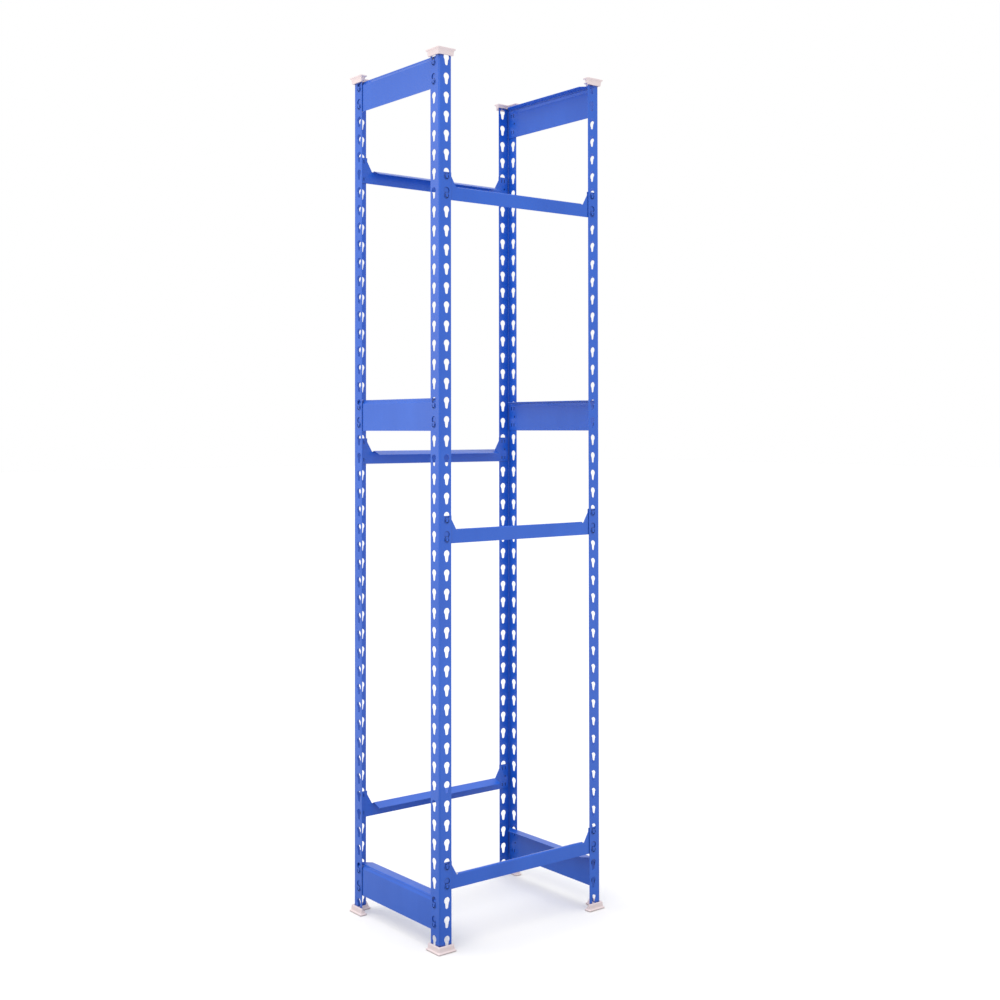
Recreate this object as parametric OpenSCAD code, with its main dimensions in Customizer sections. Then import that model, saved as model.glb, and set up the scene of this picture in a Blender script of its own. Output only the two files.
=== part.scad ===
// Boltless slotted-angle rack frame with wedge-in shelf beams and side ties.
// X runs along the front, Y to the back, Z up; the origin is at the centre of the footprint, on the floor.

/* [Frame] */
// Width of the frame over the post faces
frame_w = 430; // [300:10:900]
// Depth of the frame over the post faces
frame_d = 310; // [240:10:600]
// Number of keyholes down each post flange
slot_count = 47; // [40:1:60]

/* [Posts] */
// Width of each post flange, from the outer corner to the free edge
flange_w = 29.5; // [28.6:0.1:34]
// Sheet thickness of the posts
post_t = 1.5; // [1.2:0.1:2]
// Outer radius of the post's bend
bend_r = 3.5; // [2.5:0.5:4]
// Distance from the rack's outer face to the keyhole centre line
slot_inset = 18.5; // [17.6:0.1:18.8]

/* [Keyholes] */
// Height from one keyhole to the next
slot_pitch = 38.1; // [36:0.1:50]
// Radius of the round upper end
slot_r = 6.9; // [6.6:0.1:7.2]
// Radius of the narrow lower end
slot_foot_r = 3.7; // [3.7:0.1:4.1]
// Drop from the upper centre to the lower centre
slot_drop = 12.7; // [12:0.1:14]
// Height from the floor to the lowest upper centre
slot_margin_bottom = 25.45; // [24:0.05:40]
// Height from the highest upper centre to the top
slot_margin_top = 17.65; // [17:0.05:40]

/* [Shelf beams] */
// Sheet thickness of the beams and ties
rail_t = 1.2; // [1:0.1:1.4]
// Height of the beam between its end ears
beam_h = 28.2; // [24:0.2:32]
// Reach of the support lip, inwards from the beam's outer face
lip_reach = 25; // [14:1:30]
// Slope of the support lip, down from level towards the inside
lip_slope = 20.5; // [0:0.5:30]
// Width of the straight part of the end ear, measured from the frame's outer face
ear_w = 31.5; // [30.5:0.5:36]
// Distance from the frame's outer face to the foot of the ear's slanted edge
ear_root = 44; // [40:0.5:46]
// Height of the ear above its upper hook
ear_above = 8.5; // [7.5:0.1:10]
// Height of the ear below its lower hook
ear_below = 8.8; // [7.5:0.1:10]

/* [Side ties] */
// Height of the tie above its upper hook
tie_above = 14.4; // [12:0.1:14.4]
// Height of the tie below its lower hook
tie_below = 13.2; // [12:0.1:14]
// Reach of the level top flange, inwards from the tie's outer face
tie_reach = 26; // [18:1:26]
// Inward step of the sheet below the top flange
tie_step = 3; // [2:0.5:5]

/* [Hooks] */
// Radius of the hook's head, outside the post
head_r = 5.8; // [5.4:0.1:5.8]
// Drop of the head's centre below the neck's
head_drop = 1.3; // [1:0.1:1.3]
// Width of the hook's neck, inside the keyhole
neck_w = 6.2; // [5:0.1:6.4]
// Height of the hook's neck
neck_h = 8; // [5:0.1:8.4]
// Height of the hook above the keyhole's lower centre when it is home
hook_rise = 3.3; // [3.3:0.1:4.5]

/* [Caps and feet] */
// Height of a cap or foot
cap_h = 14.2; // [13.8:0.1:15]
// Thickness of the closed end
cap_sole = 2.5; // [2:0.5:4]
// Wall thickness of the skirt
cap_wall = 2.5; // [1.5:0.1:2.6]
// Reach of the flared rim past the skirt
rim_out = 4.9; // [1:0.1:6]
// Height of the upright edge of the rim
rim_h = 3; // [2:0.1:4]
// Height of the skirt on the inner side of the angle
inner_h = 8; // [6:0.5:10]

/* [Hidden] */

$fn = 48;
// Overall height over the feet and caps
frame_h = (slot_count - 1) * slot_pitch + slot_margin_bottom + slot_margin_top;
// Keyhole number, counted from the top, that takes each rail's upper hook
tie_slots = [1, 19, slot_count - 2];
front_slots = [7, 25, slot_count - 4];
back_slots = [5, 21, slot_count - 6];
// Gap between a rail's sheet and the post, and under a hook's head
slide_gap = 0.15;
// Gap from the frame's outer face to the end of a rail's web
end_gap = 5;
// Clearance of a cap or foot round the post's section
cap_gap = 0.3;
// Half width of the keyhole where the taper leaves the round end
taper_z = 5;
taper_x = sqrt(slot_r * slot_r - taper_z * taper_z);
// Outer radius of the folds in the rails
fold_r = 3;
// Thickness of a hook's head, and height and radius of the boss in the middle of it
head_t = 0.9;
boss_t = 0.5;
boss_r = 2.5;
// Groove round the boss, open at the top
groove_in = 3;
groove_out = 5;
// Slits through the web that free the sides of each hook
slit_w = 2;
slit_h = 7.5;
slit_offset = 4.35;
// Spare screw holes in the rails
screw_r = 2.25;
// Distance of the screw holes from the hooks' line: towards the corner in beams, to the middle in ties
beam_screw = 3.7;
tie_screw = 7;
// Length of the straight side of an ear below its top corner
ear_straight = 7.5;
// Start of the lip, measured from the frame's outer face
lip_start = 47.5;
// Notch at the end of the fold
notch_depth = 1.8;
// Height of the tie's step and of the sheet above it
step_h = 5;
step_top = 4;
over = 1;

blue = [0.27, 0.42, 0.82];
blue_deep = [0.23, 0.38, 0.76];
plastic = [0.94, 0.9, 0.89];

function slot_z(i) = frame_h - slot_margin_top - (i - 1) * slot_pitch;
function hook_z(i) = slot_z(i) - slot_drop + hook_rise;

// Keyhole outline with its round end at the origin and the narrow end below it
module keyhole() {
    circle(r = slot_r);
    translate([0, -slot_drop]) circle(r = slot_foot_r);
    polygon([
        [-taper_x, -taper_z], [taper_x, -taper_z],
        [slot_foot_r, -slot_drop], [-slot_foot_r, -slot_drop]
    ]);
}

// One column of keyhole cutters through a flange that lies along X with its outer face at y = 0
module keyhole_column() {
    for (i = [1 : slot_count])
        translate([slot_inset, post_t + over, slot_z(i)])
            rotate([90, 0, 0])
                linear_extrude(height = post_t + 2 * over) keyhole();
}

// Section of the angle post with its outer corner at the origin and its flanges along +X and +Y
module angle_section(grow = 0) {
    difference() {
        union() {
            translate([bend_r, -grow]) square([flange_w - bend_r + grow, post_t + 2 * grow]);
            translate([-grow, bend_r]) square([post_t + 2 * grow, flange_w - bend_r + grow]);
            intersection() {
                translate([bend_r, bend_r]) circle(r = bend_r + grow);
                translate([-grow, -grow]) square(bend_r + grow);
            }
        }
        translate([bend_r, bend_r]) circle(r = bend_r - post_t - grow);
    }
}

// Angle post, front left: outer corner at the origin
module post() {
    color(blue)
        difference() {
            translate([0, 0, cap_sole])
                linear_extrude(height = frame_h - 2 * cap_sole) angle_section();
            keyhole_column();
            mirror([1, -1, 0]) keyhole_column();
        }
}

// One leg of a foot's body, as a slab that stands out from the post by the given amount
module foot_leg(out, z, h) {
    translate([-out, -out, z])
        cube([flange_w + 2 * out, post_t + 2 * out, h]);
}

// Rim, concave flare and skirt of one leg, from the floor up
module foot_leg_body() {
    skirt = cap_gap + cap_wall;
    slice = 0.01;
    waist_z = rim_h + 1.6;
    skirt_z = rim_h + 4.4;
    hull() {
        foot_leg(skirt + rim_out, 0, rim_h);
        foot_leg(skirt + rim_out * 0.4, waist_z, slice);
    }
    hull() {
        foot_leg(skirt + rim_out * 0.4, waist_z, slice);
        foot_leg(skirt, skirt_z, slice);
    }
    foot_leg(skirt, skirt_z, cap_h - skirt_z);
}

// Plastic foot, front left: the post stands in its L-shaped pocket, and the inner skirt is lower
module foot() {
    inside = post_t + cap_gap;
    color(plastic)
        difference() {
            union() {
                foot_leg_body();
                mirror([1, -1, 0]) foot_leg_body();
            }
            translate([0, 0, cap_sole])
                linear_extrude(height = cap_h) angle_section(cap_gap);
            translate([inside, inside, inner_h]) cube([flange_w, flange_w, cap_h]);
        }
}

// Plastic cap, front left: the foot turned over onto the top of the post
module cap() {
    translate([0, 0, frame_h]) mirror([0, 0, 1]) foot();
}

// Copies of a front-left corner piece, moved to the named corner
module at_corner(right, back) {
    mirror([right, 0, 0])
        mirror([0, back, 0])
            translate([-frame_w / 2, -frame_d / 2, 0]) children();
}

// Outline of a hook's head: a disc with a groove round the sides and foot of its middle
module head() {
    difference() {
        circle(r = head_r);
        difference() {
            circle(r = groove_out);
            circle(r = groove_in);
            translate([-groove_in, 0]) square([2 * groove_in, head_r]);
        }
    }
}

// Hook: neck through the keyhole and a wider head outside the post; web's outer face at y = 0
module hook() {
    reach = post_t + 2 * slide_gap;
    rotate([90, 0, 0]) {
        translate([-neck_w / 2, -neck_h / 2, -rail_t / 2])
            cube([neck_w, neck_h, reach + rail_t / 2 + head_t / 2]);
        translate([0, -head_drop, reach]) {
            linear_extrude(height = head_t) head();
            translate([0, 0, head_t / 2]) cylinder(r = boss_r, h = head_t / 2 + boss_t);
        }
    }
}

// Slits through the web that free the sides of a pressed-out hook
module hook_slits() {
    for (side = [-1, 1])
        translate([side * slit_offset - slit_w / 2, -over / 2, -slit_h / 2])
            cube([slit_w, rail_t + over, slit_h]);
}

// Puts its children at both hook heights at both ends of a rail of the given span
module at_hooks(span) {
    for (side = [-1, 1])
        for (z = [0, slot_pitch])
            translate([side * (span / 2 - slot_inset), 0, z]) children();
}

// Screw holes through a rail's web, halfway between its hooks
module screw_holes(x) {
    for (side = [-1, 1])
        translate([side * x, rail_t + over, slot_pitch / 2])
            rotate([90, 0, 0]) cylinder(r = screw_r, h = rail_t + 2 * over);
}

// Section of a beam's rolled fold and sloping lip, in Y and Z, above the flat web
module lip_section(web_top) {
    tip_y = lip_reach;
    start_y = fold_r + fold_r * sin(lip_slope);
    start_z = web_top + fold_r * cos(lip_slope);
    tip_z = start_z - (tip_y - start_y) * tan(lip_slope);
    under_y = fold_r + (fold_r - rail_t) * sin(lip_slope);
    under_z = web_top + (fold_r - rail_t) * cos(lip_slope);
    difference() {
        translate([fold_r, web_top]) circle(r = fold_r);
        translate([fold_r, web_top]) circle(r = fold_r - rail_t);
        translate([0, web_top - 2 * fold_r]) square([2 * fold_r + over, 2 * fold_r]);
        polygon([
            [fold_r, web_top],
            [fold_r + 2 * fold_r * sin(lip_slope), web_top + 2 * fold_r * cos(lip_slope)],
            [fold_r + 2 * fold_r, web_top + 2 * fold_r * cos(lip_slope)],
            [fold_r + 2 * fold_r, web_top]
        ]);
    }
    polygon([
        [start_y, start_z], [tip_y, tip_z],
        [tip_y - rail_t * sin(lip_slope), tip_z - rail_t * cos(lip_slope)],
        [under_y, under_z]
    ]);
}

// Shelf beam along X: outer face at y = 0, inwards is +Y, z = 0 at the lower hooks
module beam_blank() {
    half = frame_w / 2 - end_gap;
    web_top = beam_h - ear_below - fold_r;
    lip_half = frame_w / 2 - lip_start;
    ear_x = frame_w / 2 - ear_w;
    root_x = frame_w / 2 - ear_root;
    ear_top = slot_pitch + ear_above;
    shoulder = web_top + fold_r;
    translate([0, rail_t, 0])
        rotate([90, 0, 0])
            linear_extrude(height = rail_t)
                polygon([
                    [-half, -ear_below], [half, -ear_below], [half, ear_top], [ear_x, ear_top],
                    [ear_x, ear_top - ear_straight], [root_x, shoulder - notch_depth],
                    [lip_half, shoulder - notch_depth], [lip_half, web_top],
                    [-lip_half, web_top], [-lip_half, shoulder - notch_depth],
                    [-root_x, shoulder - notch_depth], [-ear_x, ear_top - ear_straight],
                    [-ear_x, ear_top], [-half, ear_top]
                ]);
    translate([-lip_half, 0, 0])
        rotate([90, 0, 90])
            linear_extrude(height = 2 * lip_half) lip_section(web_top);
}

module beam() {
    color(blue)
        difference() {
            union() {
                beam_blank();
                at_hooks(frame_w) hook();
            }
            at_hooks(frame_w) hook_slits();
            screw_holes(frame_w / 2 - slot_inset + beam_screw);
        }
}

// Section of a tie's stepped upper part, in Y and Z, above the flat web
module tie_section(web_top) {
    knee = rail_t * tan(atan(tie_step / step_h) / 2);
    step_z = web_top + step_h;
    fold_z = step_z + step_top - fold_r;
    top_z = fold_z + fold_r;
    polygon([
        [0, web_top - knee], [0, web_top], [tie_step, step_z], [tie_step, fold_z],
        [tie_step + rail_t, fold_z], [tie_step + rail_t, step_z - knee],
        [rail_t, web_top - knee]
    ]);
    intersection() {
        difference() {
            translate([tie_step + fold_r, fold_z]) circle(r = fold_r);
            translate([tie_step + fold_r, fold_z]) circle(r = fold_r - rail_t);
        }
        translate([tie_step, fold_z]) square(fold_r);
    }
    translate([tie_step + fold_r, top_z - rail_t])
        square([tie_reach - tie_step - fold_r, rail_t]);
}

// Side tie along X: outer face at y = 0, inwards is +Y, z = 0 at the lower hooks
module tie_blank() {
    half = frame_d / 2 - end_gap;
    top_z = slot_pitch + tie_above;
    web_top = top_z - step_h - step_top;
    translate([-half, 0, -tie_below]) cube([2 * half, rail_t, web_top + tie_below]);
    intersection() {
        translate([-half, 0, 0])
            rotate([90, 0, 90])
                linear_extrude(height = 2 * half) tie_section(web_top);
        translate([0, 0, web_top - over])
            linear_extrude(height = top_z - web_top + 2 * over)
                polygon([
                    [-half, 0], [half, 0],
                    [half - tie_reach, tie_reach], [-half + tie_reach, tie_reach]
                ]);
    }
}

module tie() {
    color(blue_deep)
        difference() {
            union() {
                tie_blank();
                at_hooks(frame_d) hook();
            }
            at_hooks(frame_d) hook_slits();
            screw_holes(frame_d / 2 - slot_inset - tie_screw);
        }
}

// Moves a rail from its own frame to a face of the rack, with its upper hooks in the given keyhole
module at_front(i) {
    translate([0, -frame_d / 2 + post_t + slide_gap, hook_z(i + 1)]) children();
}

module at_back(i) {
    rotate([0, 0, 180]) at_front(i) children();
}

module at_left(i) {
    rotate([0, 0, -90])
        translate([0, -frame_w / 2 + post_t + slide_gap, hook_z(i + 1)]) children();
}

module at_right(i) {
    rotate([0, 0, 180]) at_left(i) children();
}

at_corner(0, 0) post();  // post_front_left
at_corner(1, 0) post();  // post_front_right
at_corner(0, 1) post();  // post_back_left
at_corner(1, 1) post();  // post_back_right
at_corner(0, 0) cap();  // cap_front_left
at_corner(1, 0) cap();  // cap_front_right
at_corner(0, 1) cap();  // cap_back_left
at_corner(1, 1) cap();  // cap_back_right
at_corner(0, 0) foot();  // foot_front_left
at_corner(1, 0) foot();  // foot_front_right
at_corner(0, 1) foot();  // foot_back_left
at_corner(1, 1) foot();  // foot_back_right
at_left(tie_slots[0]) tie();  // tie_left_top
at_left(tie_slots[1]) tie();  // tie_left_middle
at_left(tie_slots[2]) tie();  // tie_left_bottom
at_right(tie_slots[0]) tie();  // tie_right_top
at_right(tie_slots[1]) tie();  // tie_right_middle
at_right(tie_slots[2]) tie();  // tie_right_bottom
at_front(front_slots[0]) beam();  // beam_front_top
at_front(front_slots[1]) beam();  // beam_front_middle
at_front(front_slots[2]) beam();  // beam_front_bottom
at_back(back_slots[0]) beam();  // beam_back_top
at_back(back_slots[1]) beam();  // beam_back_middle
at_back(back_slots[2]) beam();  // beam_back_bottom
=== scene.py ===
import math

import bmesh
import bpy
from mathutils import Matrix, Vector


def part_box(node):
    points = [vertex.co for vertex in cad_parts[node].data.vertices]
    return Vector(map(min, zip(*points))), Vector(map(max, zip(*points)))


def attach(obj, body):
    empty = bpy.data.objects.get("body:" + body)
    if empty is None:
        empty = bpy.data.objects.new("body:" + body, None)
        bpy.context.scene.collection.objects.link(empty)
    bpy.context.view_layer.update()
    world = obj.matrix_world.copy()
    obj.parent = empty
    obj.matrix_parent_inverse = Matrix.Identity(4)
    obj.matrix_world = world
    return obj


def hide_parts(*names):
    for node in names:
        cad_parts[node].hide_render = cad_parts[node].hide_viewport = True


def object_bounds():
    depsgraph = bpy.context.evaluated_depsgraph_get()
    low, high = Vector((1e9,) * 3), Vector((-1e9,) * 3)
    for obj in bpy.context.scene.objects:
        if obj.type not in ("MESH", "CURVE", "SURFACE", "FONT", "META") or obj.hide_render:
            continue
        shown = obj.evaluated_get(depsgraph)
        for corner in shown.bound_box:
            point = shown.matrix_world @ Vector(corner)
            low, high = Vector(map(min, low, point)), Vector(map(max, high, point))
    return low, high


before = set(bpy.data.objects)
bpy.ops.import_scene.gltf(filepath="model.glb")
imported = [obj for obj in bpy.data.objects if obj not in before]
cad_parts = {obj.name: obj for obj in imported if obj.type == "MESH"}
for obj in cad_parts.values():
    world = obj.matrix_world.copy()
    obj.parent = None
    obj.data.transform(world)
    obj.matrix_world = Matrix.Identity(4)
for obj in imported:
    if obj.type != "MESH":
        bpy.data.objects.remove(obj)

CAD_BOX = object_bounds()
MM = 0.001
SCENE = bpy.context.scene

# Camera: place, heading and lens, in the rack's frame
CAMERA_AT = (-1.8309, -2.3563, 1.0360)
CAMERA_YAW = 0.6606
CAMERA_PITCH = 0.0141
CAMERA_ROLL = -0.0010
CAMERA_SENSOR = 36.0
CAMERA_LENS = 1.3778 * CAMERA_SENSOR
CAMERA_SHIFT = (0.023, -0.0908)

# Sheet and slot sizes of the posts, as in the CAD model
FLANGE = 29.5 * MM
SHEET = 1.5 * MM
SLIDE_GAP = 0.15 * MM
SLOT_INSET = 18.5 * MM
SLOT_PITCH = 38.1 * MM

# Hooks: height of the lower ones above a rail's underside, and the domed middle of each head
BEAM_BELOW = 8.8 * MM
TIE_BELOW = 13.2 * MM
HEAD_DROP = 1.3 * MM
DOME_REACH = 2.95 * MM
DOME_BULGE = 1.2 * MM
DOME_STRETCH = 0.55
DOME_SINK = 0.3 * MM
DOME_SIDES = 28
DOME_RINGS = 7

# Caps: full height, height on the inner side of the angle, and where the flared rim ends
CAP_HEIGHT = 14.2 * MM
CAP_INNER_HEIGHT = 8.0 * MM
CAP_RIM_TOP = 3.2 * MM
# Outline of a cap's wall, in mm: height above the closed end, and reach past the post
CAP_PROFILE = (
    (0.0, 6.1), (0.15, 6.8), (0.55, 7.35), (1.3, 7.65), (2.2, 7.65), (2.8, 7.4), (3.2, 6.9), (3.7, 6.1),
    (4.3, 5.5), (5.0, 5.15), (6.2, 4.95), (8.0, 4.8), (10.0, 4.65), (12.0, 4.5), (13.3, 4.35), (13.9, 4.0),
    (14.2, 3.4), (14.2, 1.0), (14.0, 0.5), (13.4, 0.3), (2.5, 0.3),
)
CORNER_STEPS = 6

EDGE_ROUND = 0.18 * MM
FLOOR_HALF = 30.0
FLOOR_DROP = 0.3 * MM
# Share of the light that the floor sends back up, near the rack and far from it
NEAR_FLOOR, FAR_FLOOR = 0.2, 1.4
NEAR_BOUNCE, FAR_BOUNCE = 0.46, 0.82


def link(obj):
    SCENE.collection.objects.link(obj)
    return obj


def make_camera():
    data = bpy.data.cameras.new("camera")
    data.sensor_width = CAMERA_SENSOR
    data.lens = CAMERA_LENS
    data.shift_x, data.shift_y = CAMERA_SHIFT
    data.clip_start, data.clip_end = 0.05, 60
    cam = link(bpy.data.objects.new("camera", data))
    level = math.cos(CAMERA_PITCH)
    look = Vector((math.sin(CAMERA_YAW) * level, math.cos(CAMERA_YAW) * level, math.sin(CAMERA_PITCH)))
    turn = look.to_track_quat("-Z", "Y").to_matrix().to_4x4() @ Matrix.Rotation(CAMERA_ROLL, 4, "Z")
    cam.matrix_world = Matrix.Translation(CAMERA_AT) @ turn
    SCENE.camera = cam


class Nodes:
    """Short calls for building a material's node tree."""

    # Places of the colour sockets on a mix node
    MIX_FACTOR, MIX_A, MIX_B, MIX_RESULT = 0, 6, 7, 2

    def __init__(self, name):
        self.material = bpy.data.materials.new(name)
        self.material.use_nodes = True
        self.tree = self.material.node_tree
        self.shader = self.tree.nodes["Principled BSDF"]
        self.place = self.add("ShaderNodeTexCoord").outputs["Object"]

    def add(self, kind, **values):
        node = self.tree.nodes.new(kind)
        for key, value in values.items():
            setattr(node, key, value)
        return node

    def wire(self, source, target):
        self.tree.links.new(source, target)

    def feed(self, value, target):
        """Sets a socket to a plain value, or wires another socket to it."""
        if isinstance(value, (int, float, tuple)):
            target.default_value = value
        else:
            self.wire(value, target)

    def noise(self, scale, detail=3.0, roughness=0.55, stretch=(1, 1, 1)):
        mapping = self.add("ShaderNodeMapping")
        mapping.inputs["Scale"].default_value = stretch
        self.wire(self.place, mapping.inputs["Vector"])
        node = self.add("ShaderNodeTexNoise")
        node.inputs["Scale"].default_value = scale
        node.inputs["Detail"].default_value = detail
        node.inputs["Roughness"].default_value = roughness
        self.wire(mapping.outputs["Vector"], node.inputs["Vector"])
        return node.outputs["Fac"]

    def remap(self, value, low, high, to_low, to_high):
        node = self.add("ShaderNodeMapRange")
        for key, number in zip(("From Min", "From Max", "To Min", "To Max"), (low, high, to_low, to_high)):
            node.inputs[key].default_value = number
        self.wire(value, node.inputs["Value"])
        return node.outputs["Result"]

    def math(self, operation, first, second):
        node = self.add("ShaderNodeMath", operation=operation)
        self.feed(first, node.inputs[0])
        self.feed(second, node.inputs[1])
        return node.outputs[0]

    def mix(self, factor, a, b):
        node = self.add("ShaderNodeMix", data_type="RGBA")
        self.feed(factor, node.inputs[self.MIX_FACTOR])
        self.feed(a, node.inputs[self.MIX_A])
        self.feed(b, node.inputs[self.MIX_B])
        return node.outputs[self.MIX_RESULT]

    def edges(self, radius):
        """1 along the edges of the shape, 0 on flat areas."""
        bevel = self.add("ShaderNodeBevel", samples=4)
        bevel.inputs["Radius"].default_value = radius
        geometry = self.add("ShaderNodeNewGeometry")
        dot = self.add("ShaderNodeVectorMath", operation="DOT_PRODUCT")
        self.wire(bevel.outputs["Normal"], dot.inputs[0])
        self.wire(geometry.outputs["Normal"], dot.inputs[1])
        return self.remap(dot.outputs["Value"], 0.98, 0.8, 0.0, 1.0)

    def occlusion_shade(self, distance):
        """1 in grooves and behind laps, where ambient occlusion finds shade; 0 in the open."""
        node = self.add("ShaderNodeAmbientOcclusion", samples=8)
        node.inputs["Distance"].default_value = distance
        return self.remap(node.outputs["AO"], 0.9, 0.5, 0.0, 1.0)

    def bump(self, height, strength, distance):
        node = self.add("ShaderNodeBump")
        node.inputs["Strength"].default_value = strength
        node.inputs["Distance"].default_value = distance
        self.wire(height, node.inputs["Height"])
        self.wire(node.outputs["Normal"], self.shader.inputs["Normal"])


def powder_coat(name, base, shade, rub, painted_shade):
    """Satin powder coat: clouding, dust specks, orange peel, rubbed edges, and painted shade that darkens
    grooves and laps.
    """
    n = Nodes(name)
    cloud = n.noise(7.0, 4.0)
    streak = n.noise(22.0, 3.0, stretch=(1, 1, 0.15))
    peel = n.noise(420.0, 2.0, 0.5)
    tone = n.math("ADD", n.math("MULTIPLY", cloud, 0.65), n.math("MULTIPLY", streak, 0.35))
    colour = n.mix(n.remap(tone, 0.38, 0.62, 0.0, 1.0), shade, base)
    scuff = n.remap(n.noise(60.0, 5.0, 0.7), 0.52, 0.68, 0.0, 0.5)
    colour = n.mix(n.math("MULTIPLY", n.edges(0.8 * MM), scuff), colour, rub)
    dust = n.remap(n.noise(480.0, 4.0, 0.75), 0.70, 0.78, 0.0, 0.35)
    colour = n.mix(dust, colour, rub)
    # Painted shade: the colour darkens towards a dark blue in grooves, keyhole walls and laps, where
    # ambient occlusion finds shade.
    colour = n.mix(n.math("MULTIPLY", n.occlusion_shade(5.5 * MM), 0.92), colour, painted_shade)
    n.wire(colour, n.shader.inputs["Base Color"])
    rough = n.math("ADD", n.remap(tone, 0.3, 0.7, 0.44, 0.33), n.math("MULTIPLY", dust, 0.3))
    n.wire(rough, n.shader.inputs["Roughness"])
    n.shader.inputs["Specular IOR Level"].default_value = 0.42
    n.shader.inputs["Coat Weight"].default_value = 0.6
    n.shader.inputs["Coat Roughness"].default_value = 0.28
    n.bump(peel, 0.10, 0.06 * MM)
    return n.material


def moulded_plastic(name, base, warm, grime):
    """Matt moulded plastic: slight yellowing in clouds, grimy edges and a fine spark texture."""
    n = Nodes(name)
    cloud = n.noise(28.0, 4.0)
    spark = n.noise(1100.0, 2.0, 0.6)
    colour = n.mix(n.remap(cloud, 0.35, 0.65, 0.0, 1.0), base, warm)
    patches = n.remap(n.noise(90.0, 4.0, 0.7), 0.5, 0.7, 0.0, 0.35)
    colour = n.mix(n.math("MULTIPLY", n.edges(1.2 * MM), patches), colour, grime)
    n.wire(colour, n.shader.inputs["Base Color"])
    n.wire(n.remap(cloud, 0.3, 0.7, 0.42, 0.58), n.shader.inputs["Roughness"])
    n.bump(spark, 0.06, 0.03 * MM)
    return n.material


def soften(obj):
    """Joins the import's split edges and rounds the sheet's edges."""
    weld = obj.modifiers.new("weld", "WELD")
    weld.merge_threshold = 0.004 * MM
    bevel = obj.modifiers.new("bevel", "BEVEL")
    bevel.width = EDGE_ROUND
    bevel.segments = 2
    bevel.limit_method = "ANGLE"
    bevel.angle_limit = math.radians(50)
    bevel.harden_normals = True
    bevel.use_clamp_overlap = True


def dress_cad(blue, white):
    """Coats the steel and gives its edges a radius; the plastic pieces only get their colour."""
    for name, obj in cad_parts.items():
        plastic = name.startswith(("cap_", "foot_"))
        obj.data.materials.clear()
        obj.data.materials.append(white if plastic else blue)
        if not plastic:
            soften(obj)


def finish_mesh(bm, name, material, smooth_angle):
    bmesh.ops.recalc_face_normals(bm, faces=bm.faces)
    mesh = bpy.data.meshes.new(name)
    bm.to_mesh(mesh)
    bm.free()
    mesh.materials.append(material)
    mesh.shade_smooth()
    mesh.set_sharp_from_angle(angle=math.radians(smooth_angle))
    return link(bpy.data.objects.new(name, mesh))


def cap_ring(reach):
    """L plan of a cap's wall at one reach past the post, as (x, y, on the inner side)."""
    low, high, step = -reach, FLANGE + reach, SHEET + reach
    radius = min(0.35 * reach + 0.6 * MM, 2.2 * MM)
    # Each corner, the angle where its arc starts if it is round, and whether it is on the inner side
    corners = (
        (low, low, 180, False), (high, low, 270, False), (high, step, 0, True),
        (step, step, None, True), (step, high, 0, True), (low, high, 90, False),
    )
    points = []
    for x, y, start, inner in corners:
        if start is None:
            points += [(x, y, inner)] * (CORNER_STEPS + 1)
            continue
        centre_x = x + radius if x == low else x - radius
        centre_y = y + radius if y == low else y - radius
        for k in range(CORNER_STEPS + 1):
            turn = math.radians(start + 90 * k / CORNER_STEPS)
            points.append((centre_x + radius * math.cos(turn), centre_y + radius * math.sin(turn), inner))
    return points


def wall_height(height, inner):
    """Height of a point of a cap's wall, whose skirt is lower on the inner side of the angle."""
    above = height - CAP_RIM_TOP
    if not inner or above <= 0:
        return height
    return CAP_RIM_TOP + above * (CAP_INNER_HEIGHT - CAP_RIM_TOP) / (CAP_HEIGHT - CAP_RIM_TOP)


def cap_mesh(name, material):
    """L-plan channel cap with a flared rim, closed end at z = 0, post corner at the origin."""
    bm = bmesh.new()
    rings = []
    for height, reach in CAP_PROFILE:
        plan = cap_ring(reach * MM)
        rings.append([bm.verts.new((x, y, wall_height(height * MM, inner))) for x, y, inner in plan])
    count = len(rings[0])
    for a, b in zip(rings, rings[1:]):
        for k in range(count):
            after = (k + 1) % count
            bm.faces.new((a[k], a[after], b[after], b[k]))
    bm.faces.new(rings[0][::-1])
    bm.faces.new(rings[-1])
    bmesh.ops.remove_doubles(bm, verts=bm.verts, dist=0.002 * MM)
    return finish_mesh(bm, name, material, 50)


def corner_matrix(name):
    """Places a cap built for the front left foot at the post end that its node names."""
    right, back, on_top = name.endswith("right"), "_back_" in name, name.startswith("cap_")
    post_low, post_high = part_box("post_" + name.split("_", 1)[1])
    x = post_high.x if right else post_low.x
    y = post_high.y if back else post_low.y
    z = CAD_BOX[1].z if on_top else 0.0
    flip = Matrix.Diagonal((-1 if right else 1, -1 if back else 1, -1 if on_top else 1, 1))
    return Matrix.Translation((x, y, z)) @ flip


def make_caps(material):
    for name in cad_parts:
        if not name.startswith(("cap_", "foot_")):
            continue
        obj = cap_mesh("moulded_" + name, material)
        place = corner_matrix(name)
        obj.data.transform(place)
        if place.determinant() < 0:
            obj.data.flip_normals()
        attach(obj, "frame")
        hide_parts(name)


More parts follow.
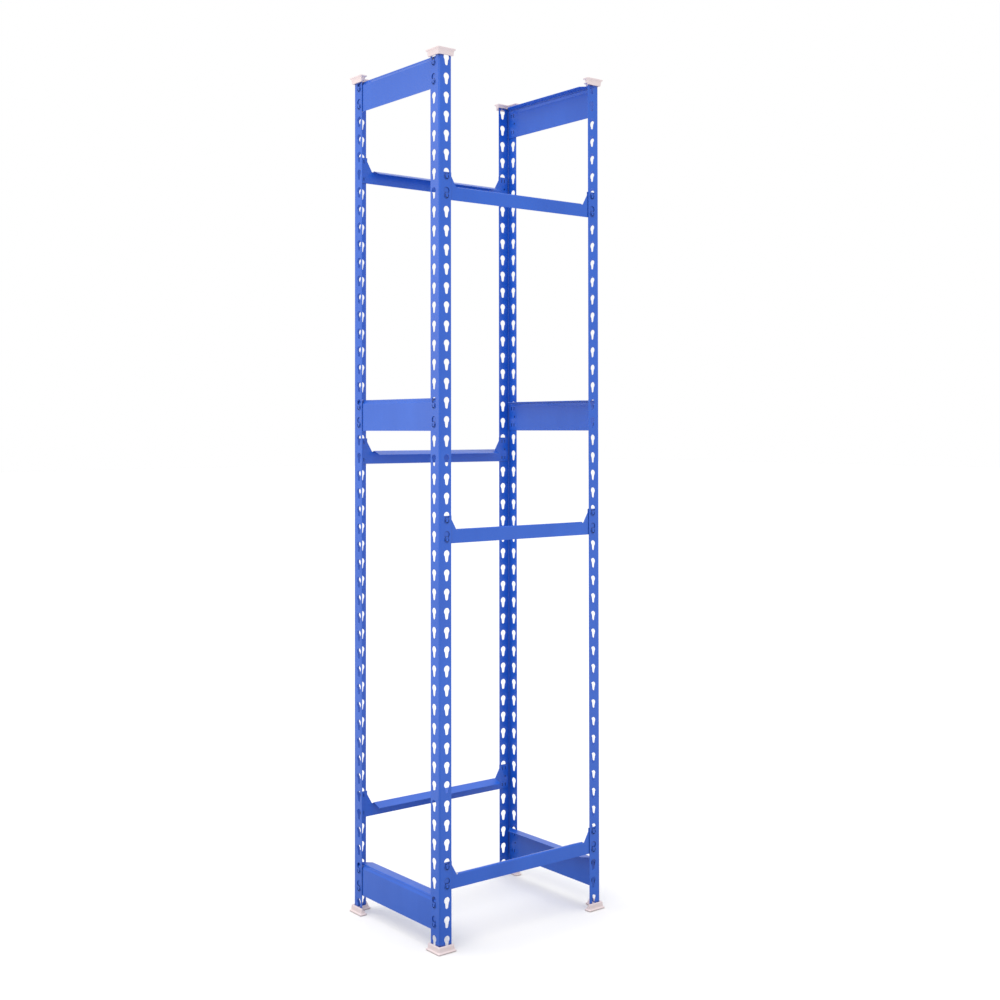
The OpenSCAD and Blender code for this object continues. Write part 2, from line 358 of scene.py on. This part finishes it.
def dome(bm, place):
    """Domed middle of one hook's head, drawn out upwards to the head's top edge."""
    base = -(SHEET + 2 * SLIDE_GAP)
    centre = bm.verts.new(place @ Vector((0, base - DOME_BULGE, -HEAD_DROP)))
    loops = []
    for j in range(1, DOME_RINGS + 1):
        t = j / DOME_RINGS
        rise = DOME_BULGE * math.sqrt(1 - t ** 2.4) if j < DOME_RINGS else -DOME_SINK
        reach = DOME_REACH * math.sin(t * math.pi / 2)
        loop = []
        for k in range(DOME_SIDES):
            turn = 2 * math.pi * k / DOME_SIDES
            up = max(0.0, math.sin(turn)) ** 3
            x = reach * math.cos(turn)
            z = reach * math.sin(turn) * (1 + DOME_STRETCH * up) - HEAD_DROP
            loop.append(bm.verts.new(place @ Vector((x, base - rise, z))))
        loops.append(loop)
    for k in range(DOME_SIDES):
        after = (k + 1) % DOME_SIDES
        bm.faces.new((centre, loops[0][k], loops[0][after]))
        for a, b in zip(loops, loops[1:]):
            bm.faces.new((a[k], b[k], b[after], a[after]))
    bm.faces.new(loops[-1])


def rail_side(name):
    """Turn to the side that a rail hangs on, and half the rack's depth and width as seen from there."""
    half_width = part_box("post_front_right")[1].x
    half_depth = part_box("post_back_left")[1].y
    side = name.split("_")[1]
    degrees = {"front": 0, "right": 90, "back": 180, "left": 270}[side]
    face, end = (half_depth, half_width) if side in ("front", "back") else (half_width, half_depth)
    return Matrix.Rotation(math.radians(degrees), 4, "Z"), face, end


def make_hooks(material):
    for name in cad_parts:
        if not name.startswith(("beam_", "tie_")):
            continue
        turn, face, end = rail_side(name)
        lower_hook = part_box(name)[0].z + (BEAM_BELOW if name.startswith("beam_") else TIE_BELOW)
        web = -face + SHEET + SLIDE_GAP
        bm = bmesh.new()
        for side in (-1, 1):
            for z in (lower_hook, lower_hook + SLOT_PITCH):
                dome(bm, turn @ Matrix.Translation((side * (end - SLOT_INSET), web, z)))
        obj = finish_mesh(bm, "hooks_" + name, material, 60)
        fixed = name.startswith("tie_") and name.endswith("top")
        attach(obj, "frame" if fixed else name + "_rail")


def floor():
    """Pale floor that sends less light back up than it shows to the camera, least of all near the rack."""
    mesh = bpy.data.meshes.new("floor")
    corners = [(x * FLOOR_HALF, y * FLOOR_HALF, 0) for x, y in ((-1, -1), (1, -1), (1, 1), (-1, 1))]
    mesh.from_pydata(corners, [], [(0, 1, 2, 3)])
    obj = link(bpy.data.objects.new("floor", mesh))
    obj.location.z = -FLOOR_DROP
    n = Nodes("pale_floor")
    cloud = n.remap(n.noise(3.0), 0.35, 0.65, 0.0, 1.0)
    pale = n.mix(cloud, (0.945, 0.94, 0.935, 1), (0.955, 0.95, 0.945, 1))
    distance = n.add("ShaderNodeVectorMath", operation="LENGTH")
    n.wire(n.place, distance.inputs[0])
    bounce = n.remap(distance.outputs["Value"], NEAR_FLOOR, FAR_FLOOR, NEAR_BOUNCE, FAR_BOUNCE)
    seen = n.add("ShaderNodeLightPath").outputs["Is Camera Ray"]
    n.wire(n.mix(seen, bounce, pale), n.shader.inputs["Base Color"])
    n.shader.inputs["Roughness"].default_value = 0.85
    mesh.materials.append(n.material)


def add_light(data, direction):
    obj = link(bpy.data.objects.new(data.name, data))
    obj.rotation_mode = "QUATERNION"
    obj.rotation_quaternion = Vector(direction).to_track_quat("-Z", "Y")
    return obj


def area_light(name, at, aim, size, power, colour):
    data = bpy.data.lights.new(name, "AREA")
    data.shape = "RECTANGLE"
    data.size, data.size_y = size
    data.energy = power
    data.color = colour
    obj = add_light(data, Vector(aim) - Vector(at))
    obj.location = at
    obj.visible_camera = False


def sun_light(name, direction, angle, power):
    data = bpy.data.lights.new(name, "SUN")
    data.angle = math.radians(angle)
    data.energy = power
    add_light(data, direction)


def light():
    """White studio: even surround, soft light from above, and a tall soft box on the left."""
    world = bpy.data.worlds.new("studio")
    world.use_nodes = True
    tree = world.node_tree
    background = tree.nodes["Background"]
    background.inputs["Color"].default_value = (1.0, 1.0, 1.0, 1)
    path = tree.nodes.new("ShaderNodeLightPath")
    strength = tree.nodes.new("ShaderNodeMapRange")
    strength.inputs["To Min"].default_value = 0.75
    strength.inputs["To Max"].default_value = 1.0
    tree.links.new(path.outputs["Is Camera Ray"], strength.inputs["Value"])
    tree.links.new(strength.outputs["Result"], background.inputs["Strength"])
    SCENE.world = world
    SCENE.view_settings.view_transform = "Standard"
    sun_light("overhead", (0.2, 0.1, -1.0), 75, 1.45)
    area_light("left_box", (-1.3, 0.65, 1.5), (-0.2, 0, 1.3), (0.8, 1.2), 4.2, (1.0, 0.88, 0.78))


make_camera()
light()
floor()
blue = powder_coat(
    "blue_powder_coat",
    base=(0.010, 0.120, 0.66, 1), shade=(0.006, 0.103, 0.60, 1),
    # The last colour is painted shade for grooves, keyhole walls and laps.
    rub=(0.10, 0.22, 0.72, 1), painted_shade=(0.012, 0.046, 0.27, 1),
)
# The same powder coat painted darker, as painted shade on the hook heads.
blue_painted_shade = powder_coat(
    "blue_powder_coat_painted_shade",
    base=(0.008, 0.070, 0.43, 1), shade=(0.006, 0.060, 0.38, 1),
    rub=(0.06, 0.16, 0.60, 1), painted_shade=(0.010, 0.038, 0.22, 1),
)
white = moulded_plastic(
    "pinkish_white_plastic",
    base=(0.85, 0.73, 0.75, 1), warm=(0.85, 0.72, 0.72, 1), grime=(0.66, 0.48, 0.42, 1),
)
dress_cad(blue, white)
make_caps(white)
make_hooks(blue_painted_shade)
